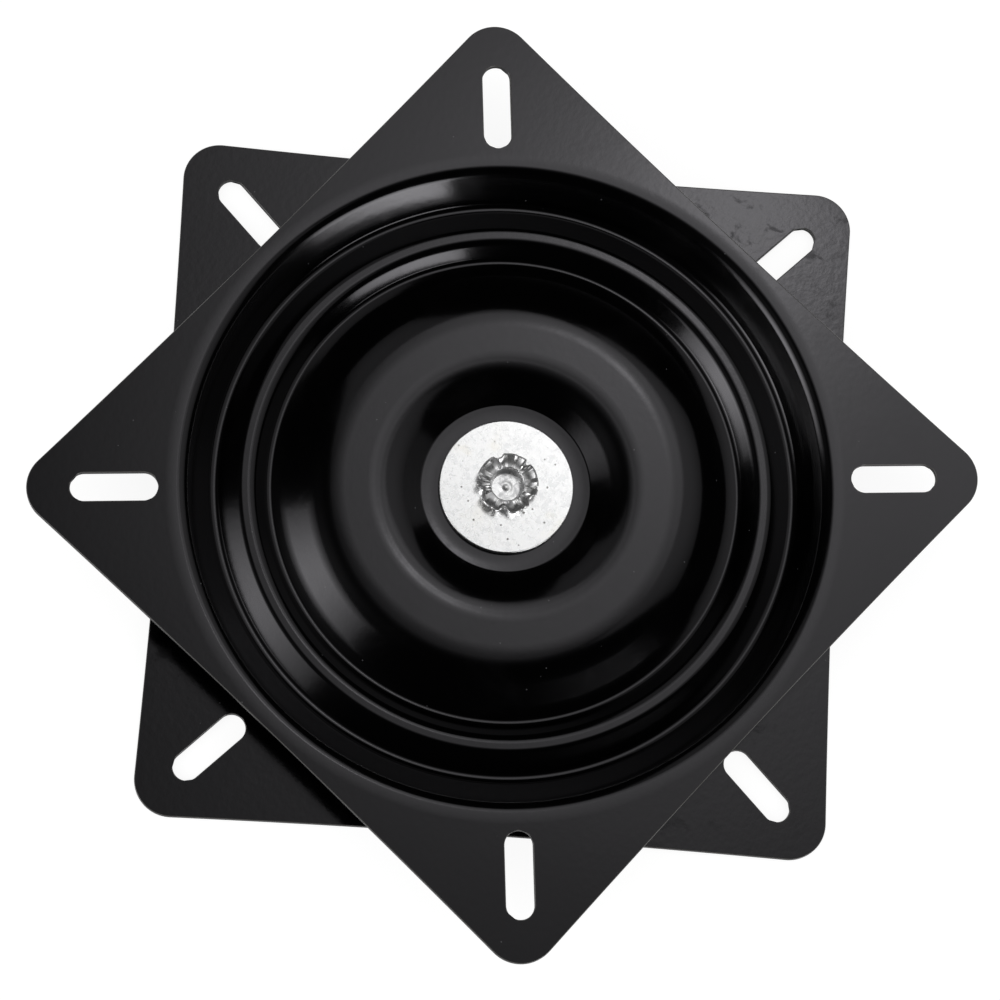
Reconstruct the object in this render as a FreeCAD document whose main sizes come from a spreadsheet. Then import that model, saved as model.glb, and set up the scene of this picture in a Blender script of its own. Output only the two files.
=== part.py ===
import FreeCAD, Part
import Sketcher
import math
import os

# Square ball-bearing swivel plate, millimetres.
# Z is the swivel axis, the origin is on it at the underside of the base plate.
# The base plate's corners and slots lie on X and Y.

SIZES = [
    # Both plates: pressed steel squares with drawn-in edges
    ("plate_width", 178.0, "overall width of one plate across its rounded corners"),
    ("edge_bow", 0.95, "how far the middle of each edge is drawn in by the pressing"),
    ("corner_radius", 9.6, "radius of the plate's corners"),
    ("trim_allowance", 8.0, "spare metal of the round blank outside the trimmed corners"),
    ("sheet", 2.0, "thickness of the steel"),
    ("plate_turn", 39.9, "degrees that the top plate is turned back from the base plate"),
    ("slot_inset", 18.36, "from the middle of each slot square in from both edges"),
    ("slot_length", 22.2, "end to end"),
    ("slot_width", 7.2, "across the slot"),
    ("crease_radius", 1.1, "inner radius of the sharp bends"),
    ("race_radius", 2.5, "inner radius at the root of the two ball grooves"),
    ("crown_radius", 15.0, "outer radius of the soft bends of the top plate's web"),
    ("crown_flat", 0.5, "least flat left between the two soft bends"),
    ("flare_radius", 14.0, "radius where the web's long slope eases off"),
    # Top plate, from its edge inwards: widths of the rings and depths below its top face
    ("edge_margin", 5.7, "flange at the middle of a side"),
    ("dish_run", 8.7, "width of the slope down from the flange"),
    ("outer_flank", 7.7, "width of the ridge's outer flank"),
    ("inner_flank", 6.55, "width of the ridge's inner flank"),
    ("flare_run", 3.85, "width of the eased foot of the long slope"),
    ("slope_run", 9.2, "width of the long slope"),
    ("valley_depth", 10.0, "both valleys beside the ridge"),
    ("ridge_depth", 5.4, "crest of the ridge that houses the balls, before rounding"),
    ("flare_depth", 8.6, "where the long slope eases off"),
    ("web_depth", 3.0, "flat web"),
    ("hub_depth", 7.2, "hub land"),
    ("hub_margin", 4.6, "hub land outside the bright washer"),
    ("recess_run", 8.6, "width of the slope from the web down to the hub land"),
    # Base plate
    ("groove_slope", 36.0, "degrees, both flanks of the ball groove"),
    ("groove_lift", 0.363, "underside of the groove above the underside of the flange"),
    ("lip_gap", 1.72, "between the top plate's valleys and the lips beside the groove"),
    ("foot_run", 6.0, "width of the slope from the outer lip down to the flange"),
    ("boss_margin", 2.5, "hub boss outside the thrust washer"),
    ("boss_run", 5.5, "width of the boss's slope"),
    # Balls
    ("ball_diameter", 9.525, "steel ball"),
    ("ball_gap", 0.15, "least space between neighbouring balls"),
    ("race_play", 0.2, "between a ball and the flanks it runs on"),
    # Rivet and washers at the hub
    ("shank_radius", 6.0, "rivet shank"),
    ("shank_play", 0.3, "between the shank and the top plate's bore"),
    ("face_play", 0.05, "between the hub faces that turn on each other"),
    ("top_washer_radius", 17.3, "bright washer above the top plate"),
    ("top_washer_sheet", 2.0, "its thickness"),
    ("spacer_inset", 2.4, "plastic thrust washer inside the edge of the hub land"),
    ("spacer_sheet", 1.0, "its thickness"),
    ("bottom_washer_margin", 4.0, "steel washer under the base plate, outside the rivet head"),
    ("bottom_washer_sheet", 1.5, "its thickness"),
    ("washer_edge", 0.25, "rounding of the washers' edges"),
    ("head_flange", 4.0, "formed head under the base plate, outside the shank"),
    ("head_height", 3.0, "formed head under the base plate"),
    ("head_edge", 1.2, "rounding of the formed head"),
    ("petal_flare", 2.0, "petals of the staked end, outside the shank"),
    ("petal_height", 4.4, "petals of the staked end, above the bright washer"),
    ("petal_rim", 1.0, "height of the petals' outer rim"),
    ("petal_slope", 1.3, "how far the petals' upper side falls towards the mouth"),
    ("petal_notch", 0.9, "radius of the gaps between the petals"),
    ("hollow_wall", 2.2, "wall of the rivet's hollow end at its floor"),
    ("hollow_drop", 1.0, "floor of the hollow, below the bright washer's top"),
    ("mouth_flare", 0.7, "how far the hollow widens up to its mouth"),
]
PETALS = 8
SLOTS = 4
SIDES = 4
NEAR = 0.02  # an edge this close to a place is the edge there

doc = FreeCAD.newDocument("swivel_plate")
sheet = doc.addObject("Spreadsheet::Sheet", "sizes")
for row, (alias, value, note) in enumerate(SIZES, start=1):
    sheet.set(f"A{row}", alias)
    sheet.set(f"B{row}", str(value))
    sheet.set(f"C{row}", note)
    sheet.setAlias(f"B{row}", alias)
doc.recompute()


def size(expression):
    """The number that an expression over the sheet comes to."""
    value = sheet.evalExpression(expression)
    return float(getattr(value, "Value", value))


def new_body(name):
    body = doc.addObject("PartDesign::Body", name)
    body.Label = name
    return body


def origin_feature(body, role):
    return next(f for f in body.Origin.OriginFeatures if f.Role == role)


def new_sketch(body, name, role):
    sketch = body.newObject("Sketcher::SketchObject", name)
    sketch.AttachmentSupport = [(origin_feature(body, role), "")]
    sketch.MapMode = "FlatFace"
    return sketch


def bind(sketch, name, expression, *constraint):
    """Adds a dimension whose value is an expression over the sheet."""
    index = sketch.addConstraint(Sketcher.Constraint(*constraint, size(expression)))
    sketch.renameConstraint(index, name)
    sketch.setExpression(f"Constraints.{name}", expression)


def add_loop(sketch, points):
    """Joins the points, in order, into a closed loop of lines."""
    first = sketch.GeometryCount
    count = len(points)
    for start, end in zip(points, points[1:] + points[:1]):
        line = Part.LineSegment(FreeCAD.Vector(*start, 0), FreeCAD.Vector(*end, 0))
        sketch.addGeometry(line, False)
    for i in range(count):
        follower = first + (i + 1) % count
        sketch.addConstraint(Sketcher.Constraint("Coincident", first + i, 2, follower, 1))
    return first


def place_point(sketch, name, line, radius, level):
    """Holds a line's start at a radius and a level, each an expression over the sheet."""
    if radius == "0":
        sketch.addConstraint(Sketcher.Constraint("PointOnObject", line, 1, -2))
    else:
        bind(sketch, f"{name}_radius", radius, "DistanceX", -1, 1, line, 1)
    if level == "0":
        sketch.addConstraint(Sketcher.Constraint("PointOnObject", line, 1, -1))
    elif size(level) < 0:
        bind(sketch, f"{name}_level", f"-({level})", "DistanceY", line, 1, -1, 1)
    else:
        bind(sketch, f"{name}_level", level, "DistanceY", -1, 1, line, 1)


def revolve(body, sketch, name):
    feature = body.newObject("PartDesign::Revolution", name)
    feature.Profile = sketch
    feature.ReferenceAxis = (sketch, ["V_Axis"])
    feature.Angle = 360
    doc.recompute()
    return feature


def pocket(body, sketch, name, depth=None):
    """Cuts downwards from the sketch, through everything or to a depth."""
    before = body.Shape.Volume
    feature = body.newObject("PartDesign::Pocket", name)
    feature.Profile = sketch
    if depth is None:
        feature.Type = "ThroughAll"
    else:
        feature.setExpression("Length", depth)
    doc.recompute()
    if not feature.Shape.Volume < before:
        raise RuntimeError(f"{name} cuts nothing")
    return feature


def pattern(body, feature, name, count):
    polar = body.newObject("PartDesign::PolarPattern", name)
    polar.Originals = [feature]
    polar.Axis = (origin_feature(body, "Z_Axis"), [""])
    polar.Angle = 360
    polar.Occurrences = count
    body.Tip = polar
    doc.recompute()
    return polar


def round_edges(body, name, radius, wanted):
    """Rounds the edges of the body for which wanted is true, to a bound radius."""
    base = body.Tip
    names = [f"Edge{i}" for i, e in enumerate(base.Shape.Edges, start=1) if wanted(e)]
    if not names:
        raise RuntimeError(f"{name} finds no edge")
    fillet = body.newObject("PartDesign::Fillet", name)
    fillet.Base = (base, names)
    fillet.setExpression("Radius", radius)
    doc.recompute()
    return fillet


def ring_at(places):
    """Tells whether an edge is a whole ring round the axis at one of the radii and levels."""
    def wanted(edge):
        if not isinstance(edge.Curve, Part.Circle):
            return False
        centre = edge.Curve.Center
        if math.hypot(centre.x, centre.y) > NEAR:
            return False
        return any(abs(edge.Curve.Radius - r) < NEAR and abs(centre.z - z) < NEAR for r, z in places)
    return wanted


def upright_at(radius, length):
    """Tells whether an edge stands upright at a radius and has the given length."""
    def wanted(edge):
        middle = edge.CenterOfMass
        return abs(math.hypot(middle.x, middle.y) - radius) < NEAR and abs(edge.Length - length) < NEAR
    return wanted


def inner_corner(before, corner, after, distance):
    """Where the underside bends, below a bend of the upper surface."""
    def unit(a, b):
        length = math.hypot(b[0] - a[0], b[1] - a[1])
        return (b[0] - a[0]) / length, (b[1] - a[1]) / length
    first = unit(before, corner) if before else unit(corner, after)
    last = unit(corner, after) if after else first
    mean = first[0] + last[0], first[1] + last[1]
    length = math.hypot(*mean)
    normal = mean[1] / length, -mean[0] / length
    if not before or not after:
        return corner[0], corner[1] - distance / first[0]
    stretch = distance / (normal[0] * first[1] - normal[1] * first[0])
    return corner[0] + normal[0] * stretch, corner[1] + normal[1] * stretch


HALF = "sizes.plate_width / 2"
SAG = f"(sizes.edge_bow * ({HALF} / ({HALF} - sizes.corner_radius)) ^ 2)"
REACH = f"({HALF} - sizes.edge_bow + {SAG})"
CORNER = f"({REACH} * sqrt(2))"
EDGE_RADIUS = f"(({REACH} ^ 2 + {SAG} ^ 2) / (2 * {SAG}))"
BLANK = f"({CORNER} + sizes.trim_allowance)"
TRIM_RIM = f"({BLANK} + sizes.trim_allowance)"
SLOT_RADIUS = f"(({HALF} - sizes.slot_inset) * sqrt(2))"
OUTER_BEND = "(sizes.crease_radius + sizes.sheet)"

# Radii of the top plate's bends, from its edge inwards and from the hub outwards
DISH = f"({HALF} - sizes.edge_margin)"
OUTER_VALLEY = f"({DISH} - sizes.dish_run)"
RIDGE = f"({OUTER_VALLEY} - sizes.outer_flank)"
INNER_VALLEY = f"({RIDGE} - sizes.inner_flank)"
FLARE = f"({INNER_VALLEY} - sizes.flare_run)"
WEB = f"({FLARE} - sizes.slope_run)"
HUB = "(sizes.top_washer_radius + sizes.hub_margin)"
RECESS = f"({HUB} + sizes.recess_run)"

# The web's two soft bends share its width
RECESS_HALF_TURN = "(atan((sizes.hub_depth - sizes.web_depth) / sizes.recess_run) / 2)"
WEB_HALF_TURN = "(atan((sizes.flare_depth - sizes.web_depth) / sizes.slope_run) / 2)"
CROWN_ROOM = (f"(({WEB} - {RECESS} - sizes.crown_flat)"
              f" / (tan({RECESS_HALF_TURN}) + tan({WEB_HALF_TURN})))")
CROWN_RADIUS = f"min(sizes.crown_radius; {CROWN_ROOM})"

# The balls lie against both flanks of the groove and both flanks of the ridge
BALL_REACH = "(sizes.ball_diameter / 2 + sizes.race_play)"
GROOVE_SPREAD = "(1 / cos(sizes.groove_slope * 1 deg))"
BALL_LEVEL = (f"(sizes.groove_lift + ({BALL_REACH} + sizes.sheet) * {GROOVE_SPREAD}"
              f" - (sizes.race_radius + sizes.sheet) * ({GROOVE_SPREAD} - 1))")
OUTER_SLOPE = "atan((sizes.valley_depth - sizes.ridge_depth) / sizes.outer_flank)"
INNER_SLOPE = "atan((sizes.valley_depth - sizes.ridge_depth) / sizes.inner_flank)"
RIDGE_LEAN = f"(({INNER_SLOPE} - {OUTER_SLOPE}) / 2)"
BALL_DROP = f"(({BALL_REACH} + sizes.sheet) / cos(({INNER_SLOPE} + {OUTER_SLOPE}) / 2))"
PITCH_RADIUS = f"({RIDGE} + {BALL_DROP} * sin({RIDGE_LEAN}))"

# Levels above the underside of the base plate
TOP_LEVEL = f"({BALL_LEVEL} + {BALL_DROP} * cos({RIDGE_LEAN}) + sizes.ridge_depth)"
HUB_TOP = f"({TOP_LEVEL} - sizes.hub_depth)"
HUB_UNDERSIDE = f"({HUB_TOP} - sizes.sheet)"
BOSS_TOP = f"({HUB_UNDERSIDE} - sizes.face_play - sizes.spacer_sheet)"
BOSS_UNDERSIDE = f"({BOSS_TOP} - sizes.sheet)"
HEAD_TOP = f"({BOSS_UNDERSIDE} - sizes.bottom_washer_sheet)"
HEAD_UNDERSIDE = f"({HEAD_TOP} - sizes.head_height)"
WASHER_UNDERSIDE = f"({HUB_TOP} + sizes.face_play)"
WASHER_TOP = f"({WASHER_UNDERSIDE} + sizes.top_washer_sheet)"
PETAL_TOP = f"({WASHER_TOP} + sizes.petal_height)"
HOLLOW_FLOOR = f"({WASHER_TOP} - sizes.hollow_drop)"

# Heights above the top face of the base plate's flange, and radii of its bends
GROOVE_HEIGHT = f"({BALL_LEVEL} - sizes.sheet - {BALL_REACH} * {GROOVE_SPREAD})"
LIP_HEIGHT = f"({TOP_LEVEL} - sizes.valley_depth - 2 * sizes.sheet - sizes.lip_gap)"
LIP_OFFSET = f"(({LIP_HEIGHT} - {GROOVE_HEIGHT}) / tan(sizes.groove_slope * 1 deg))"
INNER_LIP = f"({PITCH_RADIUS} - {LIP_OFFSET})"
OUTER_LIP = f"({PITCH_RADIUS} + {LIP_OFFSET})"
FOOT = f"({OUTER_LIP} + sizes.foot_run)"
SPACER_RADIUS = f"({HUB} - sizes.spacer_inset)"
BOSS_HEIGHT = f"({BOSS_TOP} - sizes.sheet)"
BOSS = f"({SPACER_RADIUS} + sizes.boss_margin)"
BOSS_FOOT = f"({BOSS} + sizes.boss_run)"

# Radii of the rivet
HEAD_RADIUS = "(sizes.shank_radius + sizes.head_flange)"
BOTTOM_WASHER_RADIUS = f"({HEAD_RADIUS} + sizes.bottom_washer_margin)"
PETAL_RADIUS = "(sizes.shank_radius + sizes.petal_flare)"
HOLLOW_RADIUS = "(sizes.shank_radius - sizes.hollow_wall)"
MOUTH_RADIUS = f"({HOLLOW_RADIUS} + sizes.mouth_flare)"


def outline_sketch(body):
    """The blank outside the square: four arcs that bow inwards, corners on the axes."""
    sketch = new_sketch(body, f"{body.Name}_outline", "XY_Plane")
    radius = size(EDGE_RADIUS)
    away = radius + size(REACH) - size(SAG)
    half_angle = math.asin(size(REACH) / radius)
    for i in range(SIDES):
        heading = math.pi * (2 * i + 1) / SIDES
        centre = FreeCAD.Vector(away * math.cos(heading), away * math.sin(heading), 0)
        circle = Part.Circle(centre, FreeCAD.Vector(0, 0, 1), radius)
        middle = heading + math.pi
        sketch.addGeometry(Part.ArcOfCircle(circle, middle - half_angle, middle + half_angle), False)
    for i in range(SIDES):
        sketch.addConstraint(Sketcher.Constraint("Coincident", i, 1, (i + 1) % SIDES, 2))
    for i, (kind, axis, sign) in enumerate([("DistanceX", -1, 1), ("DistanceY", -2, 1),
                                            ("DistanceX", -1, -1), ("DistanceY", -2, -1)]):
        sketch.addConstraint(Sketcher.Constraint("PointOnObject", i, 2, axis))
        ends = (-1, 1, i, 2) if sign > 0 else (i, 2, -1, 1)
        bind(sketch, f"corner_{i}", CORNER, kind, *ends)
    bind(sketch, "edge_radius", EDGE_RADIUS, "Radius", 0)
    for i in range(1, SIDES):
        sketch.addConstraint(Sketcher.Constraint("Equal", 0, i))
    rim = Part.Circle(FreeCAD.Vector(0, 0, 0), FreeCAD.Vector(0, 0, 1), size(TRIM_RIM))
    index = sketch.addGeometry(rim, False)
    sketch.addConstraint(Sketcher.Constraint("Coincident", index, 3, -1, 1))
    bind(sketch, "rim_radius", TRIM_RIM, "Radius", index)
    return sketch


def slot_sketch(body):
    """One slot that runs out along X."""
    sketch = new_sketch(body, f"{body.Name}_slot", "XY_Plane")
    radius = size("sizes.slot_width / 2")
    straight = "(sizes.slot_length - sizes.slot_width) / 2"
    near = size(f"{SLOT_RADIUS} - {straight}")
    far = size(f"{SLOT_RADIUS} + {straight}")
    up = FreeCAD.Vector(0, 0, 1)
    right = Part.Circle(FreeCAD.Vector(far, 0, 0), up, radius)
    left = Part.Circle(FreeCAD.Vector(near, 0, 0), up, radius)
    one_side = FreeCAD.Vector(far, radius, 0), FreeCAD.Vector(near, radius, 0)
    other_side = FreeCAD.Vector(near, -radius, 0), FreeCAD.Vector(far, -radius, 0)
    sketch.addGeometry(Part.ArcOfCircle(right, -math.pi / 2, math.pi / 2), False)
    sketch.addGeometry(Part.LineSegment(*one_side), False)
    sketch.addGeometry(Part.ArcOfCircle(left, math.pi / 2, 3 * math.pi / 2), False)
    sketch.addGeometry(Part.LineSegment(*other_side), False)
    for first, second in ((0, 1), (1, 2), (2, 3), (3, 0)):
        sketch.addConstraint(Sketcher.Constraint("Tangent", first, 2, second, 1))
    sketch.addConstraint(Sketcher.Constraint("PointOnObject", 0, 3, -1))
    sketch.addConstraint(Sketcher.Constraint("PointOnObject", 2, 3, -1))
    bind(sketch, "half_width", "sizes.slot_width / 2", "Radius", 0)
    bind(sketch, "far_end", f"{SLOT_RADIUS} + {straight}", "DistanceX", -1, 1, 0, 3)
    bind(sketch, "near_end", f"{SLOT_RADIUS} - {straight}", "DistanceX", -1, 1, 2, 3)
    return sketch


def pressed_plate(name, bends, roundings):
    """A square sheet pressed into rings.

    bends lists, from the bore outwards, a name and the expressions of radius and
    level of each bend of the upper surface. The underside runs parallel to it, one
    sheet thickness below. roundings lists groups of bends that share an upper
    radius and an under radius.
    """
    body = new_body(name)
    sketch = new_sketch(body, f"{name}_profile", "XZ_Plane")
    upper = [(size(radius), size(level)) for bend, radius, level in bends]
    under = []
    for i, corner in enumerate(upper):
        before = upper[i - 1] if i else None
        after = upper[i + 1] if i + 1 < len(upper) else None
        under.append(inner_corner(before, corner, after, size("sizes.sheet")))
    add_loop(sketch, upper + under[::-1])
    last = len(bends) - 1
    for i, (bend, radius, level) in enumerate(bends):
        place_point(sketch, bend, i, radius, level)
    sketch.addConstraint(Sketcher.Constraint("Vertical", last))
    sketch.addConstraint(Sketcher.Constraint("Vertical", 2 * last + 1))
    for i in range(last):
        below = 2 * last - i
        sketch.addConstraint(Sketcher.Constraint("Parallel", i, below))
        bind(sketch, f"sheet_{i}", "sizes.sheet", "Distance", below, 1, i)
    revolve(body, sketch, f"{name}_pressing")
    pocket(body, outline_sketch(body), f"{name}_trim")
    round_edges(body, f"{name}_corners", "sizes.corner_radius",
                upright_at(size(CORNER), size("sizes.sheet")))
    order = [bend for bend, radius, level in bends]
    for i, (group, upper_radius, under_radius) in enumerate(roundings, start=1):
        above = [upper[order.index(bend)] for bend in group]
        below = [under[order.index(bend)] for bend in group]
        round_edges(body, f"{name}_upper_bends_{i}", upper_radius, ring_at(above))
        round_edges(body, f"{name}_under_bends_{i}", under_radius, ring_at(below))
    slot = pocket(body, slot_sketch(body), f"{name}_slot_cut")
    pattern(body, slot, f"{name}_slots", SLOTS)
    return body


def top_plate():
    """The upper plate, dished below its flange, with a ridge over the balls."""
    bends = [
        ("bore", "sizes.shank_radius + sizes.shank_play", "-sizes.hub_depth"),
        ("hub", HUB, "-sizes.hub_depth"),
        ("recess", RECESS, "-sizes.web_depth"),
        ("web", WEB, "-sizes.web_depth"),
        ("flare", FLARE, "-sizes.flare_depth"),
        ("inner_valley", INNER_VALLEY, "-sizes.valley_depth"),
        ("ridge", RIDGE, "-sizes.ridge_depth"),
        ("outer_valley", OUTER_VALLEY, "-sizes.valley_depth"),
        ("dish", DISH, "0"),
        ("blank", BLANK, "0"),
    ]
    roundings = [
        (["hub", "inner_valley", "outer_valley"], "sizes.crease_radius", OUTER_BEND),
        (["dish"], OUTER_BEND, "sizes.crease_radius"),
        (["recess", "web"], CROWN_RADIUS, f"{CROWN_RADIUS} - sizes.sheet"),
        (["flare"], "sizes.flare_radius", "sizes.flare_radius + sizes.sheet"),
        (["ridge"], "sizes.race_radius + sizes.sheet", "sizes.race_radius"),
    ]
    body = pressed_plate("top_plate", bends, roundings)
    body.setExpression("Placement.Base.z", TOP_LEVEL)
    body.setExpression("Placement.Rotation.Angle", "-sizes.plate_turn")
    return body


def base_plate():
    """The lower plate, raised above its flange, with a groove under the balls."""
    bends = [
        ("bore", "sizes.shank_radius", BOSS_HEIGHT),
        ("boss", BOSS, BOSS_HEIGHT),
        ("boss_foot", BOSS_FOOT, LIP_HEIGHT),
        ("inner_lip", INNER_LIP, LIP_HEIGHT),
        ("groove", PITCH_RADIUS, GROOVE_HEIGHT),
        ("outer_lip", OUTER_LIP, LIP_HEIGHT),
        ("foot", FOOT, "0"),
        ("blank", BLANK, "0"),
    ]
    roundings = [
        (["boss_foot", "foot"], "sizes.crease_radius", OUTER_BEND),
        (["boss", "inner_lip", "outer_lip"], OUTER_BEND, "sizes.crease_radius"),
        (["groove"], "sizes.race_radius", "sizes.race_radius + sizes.sheet"),
    ]
    body = pressed_plate("base_plate", bends, roundings)
    body.setExpression("Placement.Base.z", "sizes.sheet")
    return body


def washer(name, radius, bore, thickness, underside):
    """A flat ring, whose sizes and underside level are expressions over the sheet."""
    body = new_body(name)
    sketch = new_sketch(body, f"{name}_face", "XY_Plane")
    for i, (label, expression) in enumerate([("outer", radius), ("bore", bore)]):
        circle = Part.Circle(FreeCAD.Vector(0, 0, 0), FreeCAD.Vector(0, 0, 1), size(expression))
        sketch.addGeometry(circle, False)
        sketch.addConstraint(Sketcher.Constraint("Coincident", i, 3, -1, 1))
        bind(sketch, f"{label}_radius", expression, "Radius", i)
    pad = body.newObject("PartDesign::Pad", f"{name}_pad")
    pad.Profile = sketch
    pad.setExpression("Length", thickness)
    doc.recompute()
    rims = [(size(radius), 0), (size(radius), size(thickness))]
    round_edges(body, f"{name}_rim", "sizes.washer_edge", ring_at(rims))
    body.setExpression("Placement.Base.z", underside)
    return body


def rivet():
    """The centre rivet: formed head below, hollow staked end above."""
    body = new_body("centre_rivet")
    sketch = new_sketch(body, "centre_rivet_profile", "XZ_Plane")
    corners = [
        ("head_middle", "0", HEAD_UNDERSIDE),
        ("head_rim", HEAD_RADIUS, HEAD_UNDERSIDE),
        ("head_shoulder", HEAD_RADIUS, HEAD_TOP),
        ("shank_foot", "sizes.shank_radius", HEAD_TOP),
        ("shank_top", "sizes.shank_radius", WASHER_TOP),
        ("petal_tip", PETAL_RADIUS, f"{PETAL_TOP} - sizes.petal_rim"),
        ("petal_rim", f"{PETAL_RADIUS} - sizes.petal_rim / 2", PETAL_TOP),
        ("mouth", MOUTH_RADIUS, f"{PETAL_TOP} - sizes.petal_slope"),
        ("hollow_edge", HOLLOW_RADIUS, HOLLOW_FLOOR),
        ("hollow_floor", "0", HOLLOW_FLOOR),
    ]
    add_loop(sketch, [(size(radius), size(level)) for corner, radius, level in corners])
    for i, (corner, radius, level) in enumerate(corners):
        place_point(sketch, corner, i, radius, level)
    revolve(body, sketch, "centre_rivet_turning")
    head_rim = [(size(HEAD_RADIUS), size(HEAD_UNDERSIDE))]
    round_edges(body, "centre_rivet_head_edge", "sizes.head_edge", ring_at(head_rim))
    notch = new_sketch(body, "centre_rivet_notch", "XY_Plane")
    notch.setExpression("AttachmentOffset.Base.z", PETAL_TOP)
    centre = FreeCAD.Vector(size(PETAL_RADIUS), 0, 0)
    circle = Part.Circle(centre, FreeCAD.Vector(0, 0, 1), size("sizes.petal_notch"))
    notch.addGeometry(circle, False)
    notch.addConstraint(Sketcher.Constraint("PointOnObject", 0, 3, -1))
    bind(notch, "reach", PETAL_RADIUS, "DistanceX", -1, 1, 0, 3)
    bind(notch, "notch_radius", "sizes.petal_notch", "Radius", 0)
    doc.recompute()
    cut = pocket(body, notch, "centre_rivet_notch_cut", "sizes.petal_height")
    pattern(body, cut, "centre_rivet_petals", PETALS)
    return body


def balls():
    """A full ring of loose balls in the race, as many as fit side by side."""
    reach = f"(sizes.ball_diameter + sizes.ball_gap) / (2 * {PITCH_RADIUS})"
    count = int(math.pi / math.asin(size(reach)))
    ring = []
    for i in range(count):
        ball = doc.addObject("Part::Sphere", f"ball_{i + 1:02d}")
        ball.Label = ball.Name
        ball.setExpression("Radius", "sizes.ball_diameter / 2")
        heading = f"({i} * 360 deg / {count})"
        ball.setExpression("Placement.Base.x", f"{PITCH_RADIUS} * cos({heading})")
        ball.setExpression("Placement.Base.y", f"{PITCH_RADIUS} * sin({heading})")
        ball.setExpression("Placement.Base.z", BALL_LEVEL)
        ring.append(ball)
    return ring


pieces = [base_plate(), top_plate(), rivet()]
pieces.append(washer("top_washer", "sizes.top_washer_radius", "sizes.shank_radius",
                     "sizes.top_washer_sheet", WASHER_UNDERSIDE))
pieces.append(washer("spacer_washer", SPACER_RADIUS, "sizes.shank_radius",
                     "sizes.spacer_sheet", BOSS_TOP))
pieces.append(washer("bottom_washer", BOTTOM_WASHER_RADIUS, "sizes.shank_radius",
                     "sizes.bottom_washer_sheet", HEAD_TOP))
pieces += balls()
doc.recompute()

for item in doc.Objects:
    if "Invalid" in item.State or "Error" in item.State:
        raise RuntimeError(f"{item.Label} did not build: {item.State}")
for piece in pieces:
    if piece.Shape.isNull() or not piece.Shape.isValid() or len(piece.Shape.Solids) != 1:
        raise RuntimeError(f"{piece.Label} is not one sound solid")

os.makedirs("parts", exist_ok=True)
for piece in pieces:
    piece.Shape.exportStep(f"parts/{piece.Label}.step")
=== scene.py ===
import math

import bpy
import numpy as np
from mathutils import Matrix, Quaternion, Vector
from mathutils.geometry import delaunay_2d_cdt


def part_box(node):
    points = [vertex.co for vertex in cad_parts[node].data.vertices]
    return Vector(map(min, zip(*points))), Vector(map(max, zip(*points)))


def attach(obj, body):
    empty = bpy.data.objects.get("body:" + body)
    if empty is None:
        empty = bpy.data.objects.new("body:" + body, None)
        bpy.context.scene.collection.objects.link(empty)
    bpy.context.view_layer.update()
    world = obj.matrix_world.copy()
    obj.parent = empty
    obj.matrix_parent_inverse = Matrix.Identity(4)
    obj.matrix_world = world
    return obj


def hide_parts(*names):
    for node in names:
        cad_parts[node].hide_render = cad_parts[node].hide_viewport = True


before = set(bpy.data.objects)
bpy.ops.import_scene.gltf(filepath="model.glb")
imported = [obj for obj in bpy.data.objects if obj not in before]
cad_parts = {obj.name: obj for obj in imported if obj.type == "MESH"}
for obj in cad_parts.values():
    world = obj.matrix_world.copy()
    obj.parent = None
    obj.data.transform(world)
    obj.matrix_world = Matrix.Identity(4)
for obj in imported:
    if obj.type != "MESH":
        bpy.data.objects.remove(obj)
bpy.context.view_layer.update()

MM = 0.001
AXIS_SIDES = 4  # a plate's corners and slots repeat every quarter turn

# The frame's own levels and reach, in metres
TOP_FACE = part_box("top_plate")[1].z
WASHER_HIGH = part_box("top_washer")[1].z
RIVET_LOW, RIVET_HIGH = (corner.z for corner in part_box("centre_rivet"))
PLATE_TURN = math.radians(-39.9)  # the top plate at rest, from the base plate

# Both plates, as the pressed steel is made
SHEET = 2.0 * MM
BASE_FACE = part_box("base_plate")[0].z + SHEET
HALF_WIDTH = 89.0 * MM
EDGE_BOW = 0.95 * MM
CORNER_RADIUS = 9.6 * MM
SLOT_RADIUS = 99.9 * MM
SLOT_LENGTH = 22.2 * MM
SLOT_WIDTH = 7.2 * MM
CUT_ROUND = 0.3 * MM  # painted edge of every cut
FLAT_FROM = 87.4 * MM  # outside this radius a plate is flat

# How finely arcs are divided: a plate's corner and side, a slot's end, a rounded rim
CORNER_STEPS = 26
SIDE_STEPS = 62
SLOT_END_STEPS = 25
RIM_STEPS = 5

# The flange's triangles
INSIDE_EDGES = 1  # Blender's number for triangles that lie inside the given edges
SAME_POINT = 1e-5  # millimetres
OUTSIDE = 0.9999  # share of a circle's radius from which a point is outside its chords

# Bends of the upper surface from the bore outwards: radius, level below the top face, bend radius
TOP_BENDS = np.array([
    (6.3, 7.2, 0.0),
    (19.5, 7.2, 42.0),
    (21.9, 7.06, 1.1),
    (29.4, 3.12, 16.5),
    (34.6, 2.7, 28.0),
    (43.2, 2.7, 40.0),
    (48.5, 3.15, 16.0),
    (57.8, 8.45, 12.0),
    (60.8, 9.25, 2.0),
    (64.94, 5.45, 3.6),
    (68.17, 5.45, 2.8),
    (75.05, 9.15, 2.2),
    (82.37, 0.18, 4.4),
    (85.8, 0.0, 54.0),
    (87.4, 0.0, 0.0),
]) * MM
TOP_BENDS[:, 1] = TOP_FACE - TOP_BENDS[:, 1]

# The same of the base plate, with heights above its flange
BASE_BENDS = np.array([
    (6.0, 9.35, 0.0),
    (22.0, 9.35, 3.1),
    (27.5, 5.88, 1.1),
    (58.805, 5.88, 3.1),
    (67.206, -0.223, 2.5),
    (75.607, 5.88, 3.1),
    (81.607, 0.0, 1.1),
    (87.4, 0.0, 0.0),
]) * MM
BASE_BENDS[:, 1] += BASE_FACE


def unit(vector):
    return vector / np.linalg.norm(vector, axis=-1, keepdims=True)


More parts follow.
